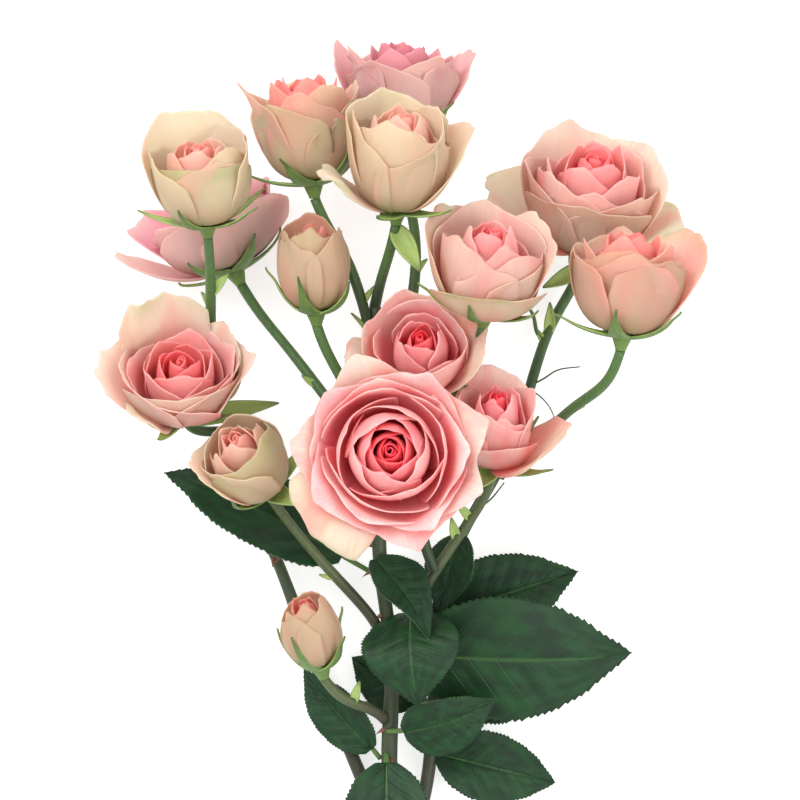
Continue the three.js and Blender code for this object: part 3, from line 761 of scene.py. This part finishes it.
def make_shoots(stems):
    """The bracts and thin side twigs of all the stalks."""
    rng = np.random.default_rng(SHOOT_SEED)
    sheets = Sheets()
    for shoot in BRACTS:
        line = stems[shoot.stem]
        start = line[int(shoot.share * (len(line) - 1))]
        way = np.array(shoot.way) / np.linalg.norm(shoot.way)
        side = np.cross(way, [0.0, 0.0, 1.0])
        side /= np.linalg.norm(side)
        up = np.cross(side, way)
        t = np.linspace(0, 1, 16)[:, None]
        u = np.linspace(-1, 1, 9)[None, :]
        outline = np.sin(np.pi * (0.12 + 0.88 * t) ** 0.75) ** 0.9
        half = 0.36 * shoot.width * MM * outline + 0.1 * MM
        bend = shoot.curl * MM * t**2
        cup = 0.55 * half * u**2 + 1.2 * MM * t * (1 - t)
        grid = (start + way * (shoot.length * MM * t)[..., None] + up * cup[..., None]
                + side * (half * u + bend)[..., None])
        sheets.sheet(grid, BRACT_THICKNESS, reach=t * np.ones_like(u),
                     across=u * np.ones_like(t), pick=rng.uniform())
    piece = sheets.build("bracts", SEPAL_MATERIAL)
    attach(piece, "root")
    twigs = Sheets()
    for letter, share, points, radius in TWIGS:
        line = stems[letter]
        start = line[int(share * (len(line) - 1))]
        path = smooth_line(np.vstack([start, start + np.array(points) * MM]), 0.8 * MM)
        taper = np.linspace(1.0, 0.55, len(path))
        twigs.tube(path, radius * MM * taper, sides=10, reach=0.6, pick=rng.uniform())
    piece = twigs.build("twigs", STALK_MATERIAL)
    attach(piece, "root")


# ---- materials ----------------------------------------------------------------------


def colour(red, green, blue):
    """A screen colour, 0 to 255, as the shader wants it."""
    def linear(c):
        c /= 255
        return c / 12.92 if c <= 0.04045 else ((c + 0.055) / 1.055) ** 2.4
    return (linear(red), linear(green), linear(blue), 1)


class Graph:
    """A material's nodes, added and linked with one call each."""

    def __init__(self, name):
        self.material = bpy.data.materials.new(name)
        self.material.use_nodes = True
        self.tree = self.material.node_tree
        self.shader = self.tree.nodes["Principled BSDF"]

    def node(self, kind, settings=None, **inputs):
        """A new node. An input is given by its name, or as i and its number."""
        node = self.tree.nodes.new(kind)
        for key, value in (settings or {}).items():
            setattr(node, key, value)
        for key, value in inputs.items():
            numbered = key[0] == "i" and key[1:].isdigit()
            self.put(node.inputs[int(key[1:]) if numbered else key], value)
        return node

    def put(self, socket, value):
        """Links a socket, or sets its value."""
        if isinstance(value, bpy.types.NodeSocket):
            self.tree.links.new(value, socket)
        else:
            socket.default_value = value

    def attribute(self, name):
        return self.node("ShaderNodeAttribute", {"attribute_name": name}).outputs["Fac"]

    def math(self, operation, first, second=0.0, clamp=False):
        settings = {"operation": operation, "use_clamp": clamp}
        return self.node("ShaderNodeMath", settings, i0=first, i1=second).outputs[0]

    def times(self, first, second):
        return self.math("MULTIPLY", first, second)

    def step(self, low, high, value):
        """Goes from 0 to 1 as value goes from low to high."""
        settings = {"interpolation_type": "SMOOTHSTEP"}
        return self.node("ShaderNodeMapRange", settings, i0=value, i1=low, i2=high).outputs[0]

    def mix(self, share, first, second):
        """A colour that goes from first to second as share goes from 0 to 1."""
        node = self.node("ShaderNodeMix", {"data_type": "RGBA"})
        self.put(node.inputs[0], share)
        self.put(node.inputs[6], first)
        self.put(node.inputs[7], second)
        return node.outputs[2]

    def ramp(self, value, stops):
        """A colour looked up between stops of place and colour."""
        node = self.node("ShaderNodeValToRGB", Fac=value)
        ramp = node.color_ramp
        while len(ramp.elements) < len(stops):
            ramp.elements.new(0.5)
        for element, (place, shade) in zip(ramp.elements, stops):
            element.position = place
            element.color = shade
        return node.outputs[0]

    def vector(self, x, y, z):
        return self.node("ShaderNodeCombineXYZ", i0=x, i1=y, i2=z).outputs[0]

    def noise(self, vector, scale, detail):
        node = self.node("ShaderNodeTexNoise", Vector=vector, Scale=scale, Detail=detail)
        return node.outputs["Fac"]

    def bump(self, height, distance):
        node = self.node("ShaderNodeBump", Height=height, Distance=distance, Strength=1.0)
        self.put(self.shader.inputs["Normal"], node.outputs[0])

    def glow_through(self, shade, share):
        """Lets a share of the light pass through to the other side."""
        thin = self.node("ShaderNodeBsdfTranslucent", Color=shade)
        both = self.node("ShaderNodeMixShader", i0=share, i1=self.shader.outputs[0],
                         i2=thin.outputs[0])
        self.put(self.tree.nodes["Material Output"].inputs["Surface"], both.outputs[0])


CREAM_INSIDE = colour(238, 232, 212)
CREAM_OUTSIDE = colour(214, 206, 168)
GREEN_TIP = colour(178, 188, 104)

PALETTES = {
    # inside of the petals from the outermost to the middle, outside, outside near the foot, rim
    "cream": dict(inner=[(246, 232, 220), (250, 216, 202), (250, 184, 170)], back=(228, 210, 182),
                  foot=(180, 180, 110), rim=(240, 230, 208)),
    "peach": dict(inner=[(248, 220, 212), (250, 198, 188), (250, 154, 150)], back=(226, 196, 174),
                  foot=(184, 170, 110), rim=(236, 216, 186)),
    "pink": dict(inner=[(250, 228, 224), (252, 206, 202), (252, 144, 148)], back=(238, 210, 198),
                 foot=(198, 182, 132), rim=(246, 232, 222)),
    "coral": dict(inner=[(254, 238, 238), (255, 212, 212), (254, 66, 94)], back=(250, 208, 200),
                  foot=(208, 178, 134), rim=(252, 242, 238)),
    # mauve's outside is paler than the petals' own tone: painted light that makes up for the
    # shade head b's outside lies in
    "mauve": dict(inner=[(240, 186, 200), (238, 174, 190), (232, 150, 168)], back=(248, 220, 216),
                  foot=(204, 190, 156), rim=(238, 210, 206)),
    "dusky": dict(inner=[(240, 190, 198), (236, 174, 184), (230, 154, 164)], back=(238, 208, 204),
                  foot=(200, 184, 152), rim=(240, 214, 208)),
    "bud": dict(inner=[(242, 202, 186), (248, 180, 168), (246, 146, 142)], back=(226, 204, 178),
                foot=(180, 172, 106), rim=(226, 186, 152)),
}

PETAL_TRANSLUCENCE = 0.55


def petal_material(tone):
    """Petals that deepen toward the middle of the head, pale at the rim, green at the foot, and
    deeper pink low on the inside, partly their own flush and partly painted shade.
    """
    palette = PALETTES[tone]
    g = Graph(f"petal_{tone}")
    reach, across, depth = g.attribute("reach"), g.attribute("across"), g.attribute("depth")
    side, pick, edge = g.attribute("side"), g.attribute("pick"), g.attribute("edge")
    cream = g.attribute("cream")
    rim = colour(*palette["rim"])
    outermost, between, middle = (colour(*c) for c in palette["inner"])
    inner = g.ramp(depth, [(0.0, outermost), (0.45, between), (0.85, middle)])
    # the inside turns to the deep middle colour toward each petal's foot: partly the flower's own
    # flush, partly painted shade in the depths of the cup
    inner = g.mix(g.times(g.step(0.85, 0.25, reach), 0.75), inner, middle)
    paler = g.times(g.step(0.80, 1.0, edge), g.math("SUBTRACT", 0.8, depth, True))
    inner = g.mix(paler, inner, rim)
    inner = g.mix(g.times(cream, g.step(0.15, 0.7, reach)), inner, CREAM_INSIDE)
    back = g.mix(g.step(0.1, 0.7, depth), colour(*palette["back"]), between)
    back = g.mix(g.times(g.step(0.5, 0.95, depth), 0.75), back, middle)
    back = g.mix(g.times(cream, 0.8), back, CREAM_OUTSIDE)
    back = g.mix(g.step(0.5, 0.05, reach), back, colour(*palette["foot"]))
    shade = g.mix(side, inner, back)
    pale_share = g.times(g.math("SUBTRACT", 1.0, depth, True), 0.3)
    patches = g.noise(g.vector(across, reach, g.times(pick, 37.0)), 1.5, 3.0)
    shade = g.mix(g.times(g.step(0.45, 0.7, patches), pale_share), shade, rim)
    shade = g.mix(g.times(g.step(0.55, 0.3, patches), 0.26), shade, middle)
    green = g.times(g.step(0.55, 1.0, cream), g.step(0.45, 0.8, patches))
    shade = g.mix(g.times(green, g.step(0.7, 1.0, edge)), shade, GREEN_TIP)
    fan = g.math("DIVIDE", across, g.math("ADD", reach, 0.25))
    along_fan = g.vector(g.times(fan, 30.0), g.times(reach, 2.5), g.times(pick, 91.0))
    veins = g.noise(along_fan, 1.0, 4.0)
    veined = g.times(g.step(0.35, 0.75, veins), 0.22)
    shade = g.mix(veined, shade, g.mix(0.5, shade, middle))
    g.put(g.shader.inputs["Base Color"], shade)
    g.put(g.shader.inputs["Roughness"], g.math("ADD", 0.48, g.times(veins, 0.16)))
    g.shader.inputs["Sheen Weight"].default_value = 0.15
    g.shader.inputs["Sheen Roughness"].default_value = 0.4
    g.shader.inputs["Specular IOR Level"].default_value = 0.3
    g.bump(veins, 0.00010)
    g.glow_through(shade, PETAL_TRANSLUCENCE)
    return g.material


def sepal_material():
    """Sepals and bracts, darker outside than inside and toward the tip."""
    g = Graph("sepal")
    reach, across, side, pick = (g.attribute(n) for n in ("reach", "across", "side", "pick"))
    place = g.vector(g.times(across, 6.0), g.times(reach, 2.2), g.times(pick, 50.0))
    streaks = g.noise(place, 2.0, 4.0)
    outside = g.mix(g.step(0.35, 0.7, streaks), colour(74, 104, 46), colour(112, 142, 66))
    inside = g.mix(g.step(0.3, 0.7, streaks), colour(150, 178, 96), colour(176, 196, 118))
    shade = g.mix(side, inside, outside)
    shade = g.mix(g.times(g.step(0.7, 1.0, reach), 0.5), shade, colour(70, 84, 44))
    g.put(g.shader.inputs["Base Color"], shade)
    g.put(g.shader.inputs["Roughness"], g.math("ADD", 0.45, g.times(streaks, 0.2)))
    g.shader.inputs["Subsurface Weight"].default_value = 0.1
    g.shader.inputs["Subsurface Scale"].default_value = 0.001
    g.bump(streaks, 0.0002)
    return g.material


def stem_material(name, top, foot, thorn):
    """Stem skin from its colour at the foot to the one at the top, with its thorns."""
    g = Graph(name)
    reach, depth = g.attribute("reach"), g.attribute("depth")
    place = g.node("ShaderNodeTexCoord").outputs["Object"]
    broad = g.noise(place, 45.0, 3.0)
    stretched = g.node("ShaderNodeMapping", Vector=place, Scale=(900.0, 120.0, 900.0)).outputs[0]
    grain = g.noise(stretched, 1.0, 3.0)
    place_up = g.math("ADD", reach, g.times(g.math("SUBTRACT", broad, 0.5), 0.5))
    shade = g.mix(g.step(0.05, 0.75, place_up), colour(*foot), colour(*top))
    shade = g.mix(g.times(g.step(0.45, 0.7, grain), 0.3), shade, colour(*foot))
    shade = g.mix(depth, shade, colour(*thorn))
    g.put(g.shader.inputs["Base Color"], shade)
    g.put(g.shader.inputs["Roughness"], g.math("ADD", 0.38, g.times(grain, 0.25)))
    g.bump(grain, 0.00015)
    return g.material


def leaf_material():
    """Leaf with a dark upper side, a pale underside, side veins, midrib and green stalk."""
    g = Graph("leaf")
    reach, across, side, pick = (g.attribute(n) for n in ("reach", "across", "side", "pick"))
    rib = g.attribute("depth")
    far = g.math("ABSOLUTE", across)
    along_veins = g.times(reach, float(LEAF_VEINS))
    sweep = g.math("SUBTRACT", along_veins, g.times(far, 1.7))
    off_vein = g.math("ABSOLUTE", g.math("SUBTRACT", g.math("FRACT", sweep), 0.5))
    vein = g.step(0.06, 0.0, g.math("SUBTRACT", 0.5, off_vein))
    vein = g.times(vein, g.step(1.0, 0.3, far))
    midrib = g.step(0.05, 0.015, far)
    place = g.vector(g.times(across, 3.0), g.times(reach, 5.0), g.times(pick, 60.0))
    broad = g.noise(place, 1.2, 4.0)
    cells = g.noise(place, 16.0, 4.0)
    upper = g.mix(g.step(0.3, 0.7, broad), colour(8, 38, 16), colour(18, 62, 26))
    upper = g.mix(g.times(g.step(0.4, 0.8, cells), 0.18), upper, colour(36, 72, 36))
    upper = g.mix(g.times(vein, 0.25), upper, colour(40, 78, 40))
    upper = g.mix(g.times(midrib, 0.45), upper, colour(60, 100, 48))
    under = g.mix(g.step(0.3, 0.7, broad), colour(84, 112, 72), colour(100, 130, 84))
    under = g.mix(g.times(vein, 0.5), under, colour(132, 156, 106))
    shade = g.mix(side, upper, under)
    shade = g.mix(rib, shade, colour(78, 106, 54))
    g.put(g.shader.inputs["Base Color"], shade)
    g.put(g.shader.inputs["Roughness"], g.math("ADD", 0.32, g.times(cells, 0.24)))
    g.shader.inputs["Specular IOR Level"].default_value = 0.3
    relief = g.math("ADD", g.times(cells, 0.5), g.times(vein, -0.5))
    g.bump(relief, 0.0003)
    return g.material


PETAL_MATERIALS = {tone: petal_material(tone) for tone in PALETTES}
SEPAL_MATERIAL = sepal_material()
STALK_MATERIAL = stem_material("stalk", (70, 102, 50), (42, 60, 34), (150, 96, 70))
BRANCH_MATERIAL = stem_material("branch", (80, 92, 54), (56, 54, 36), (150, 96, 70))
BRANCH_HEADS = "lno"  # heads whose stalks are already woody
CANE_MATERIAL = stem_material("cane", (52, 66, 38), (44, 46, 30), (110, 66, 48))
LEAF_MATERIAL = leaf_material()


# ---- building the spray -------------------------------------------------------------

# each cane's radius at its foot and at its top, and how many thorns are tried on it
CANES = {
    "main_cane": (3.2 * MM, 1.9 * MM, 16),
    "left_cane": (2.4 * MM, 1.7 * MM, 7),
    "right_cane": (2.4 * MM, 1.7 * MM, 7),
}
STALK_RADII = (1.75 * MM, 1.6 * MM)

stem_points = []
for number, (node, (foot_radius, top_radius, thorns)) in enumerate(CANES.items()):
    corners = points_of(node)
    top = corners[np.argmax(corners[:, 1])]
    line = centre_line(node, top, CANE_SIDES)
    stem_points.append(make_stem(node, line[::-1], (foot_radius, top_radius),
                                 CANE_MATERIAL, thorns, CANE_SEED + number))

stalks = {}
for number, letter in enumerate(HEADS):
    origin, axes, neck = head_frame(letter)
    line = centre_line(f"stalk_{letter}", neck, STALK_SIDES)
    skin = BRANCH_MATERIAL if letter in BRANCH_HEADS else STALK_MATERIAL
    stalks[letter] = make_stem(f"stalk_{letter}", line[::-1], STALK_RADII, skin, 0,
                               STALK_SEED + number)
    stem_points.append(stalks[letter])
    make_calyx(letter, origin, axes)
    make_petals(letter, origin, axes)

all_stems = np.vstack(stem_points)
for index in range(1, LEAFLETS + 1):
    make_leaf(index, all_stems)
make_shoots(stalks)


# ---- floor, light and camera --------------------------------------------------------

FLOOR_SIZE = 4.0
FLOOR_GREY = 0.6
FLOOR_GLOW = 0.6
bpy.ops.mesh.primitive_plane_add(size=FLOOR_SIZE, location=(0, 0, 0))
floor = bpy.context.object
floor.name = "floor"
floor_graph = Graph("floor")
floor_graph.shader.inputs["Base Color"].default_value = (FLOOR_GREY, FLOOR_GREY, FLOOR_GREY, 1)
floor_graph.shader.inputs["Emission Color"].default_value = (1, 1, 1, 1)
floor_graph.shader.inputs["Emission Strength"].default_value = FLOOR_GLOW
floor_graph.shader.inputs["Roughness"].default_value = 0.9
floor.data.materials.append(floor_graph.material)

world = bpy.data.worlds.new("studio")
bpy.context.scene.world = world
world.use_nodes = True
world.node_tree.nodes["Background"].inputs["Color"].default_value = (1, 1, 1, 1)
world.node_tree.nodes["Background"].inputs["Strength"].default_value = 1.0

LIGHTS_TARGET = Vector((0, 0.05, 0))


def area_light(name, place, size, power):
    """A square lamp at a place, turned toward the heads."""
    data = bpy.data.lights.new(name, "AREA")
    data.size = size
    data.energy = power
    lamp = bpy.data.objects.new(name, data)
    lamp.location = place
    aim = LIGHTS_TARGET - Vector(place)
    lamp.rotation_euler = aim.to_track_quat("-Z", "Y").to_euler()
    bpy.context.scene.collection.objects.link(lamp)


area_light("key", (-0.6, 0.7, 1.2), 0.8, 16)
area_light("fill", (0.8, -0.2, 1.2), 0.9, 8)

VIEW_WIDTH = 0.256  # how much of the spray the picture spans
VIEW_HEIGHT = 3.0
HEADS_HEIGHT = 0.05  # the height above the table at which the picture spans that width
SENSOR_WIDTH = 36
FOOT_TO_VIEW = Vector((3.0 * MM, 268.0 * MM))  # from the main cane's cut end to the view's middle
cane = points_of("main_cane")
cane_foot = Vector(cane[np.argsort(cane[:, 1])[:CANE_SIDES]].mean(0))
camera_data = bpy.data.cameras.new("camera")
camera = bpy.data.objects.new("camera", camera_data)
camera.location = (cane_foot.x + FOOT_TO_VIEW.x, cane_foot.y + FOOT_TO_VIEW.y, VIEW_HEIGHT)
camera_data.sensor_width = SENSOR_WIDTH
camera_data.lens = SENSOR_WIDTH * (VIEW_HEIGHT - HEADS_HEIGHT) / VIEW_WIDTH
bpy.context.scene.collection.objects.link(camera)
bpy.context.scene.camera = camera

scene = bpy.context.scene
scene.view_settings.view_transform = "Standard"
scene.view_settings.look = "None"
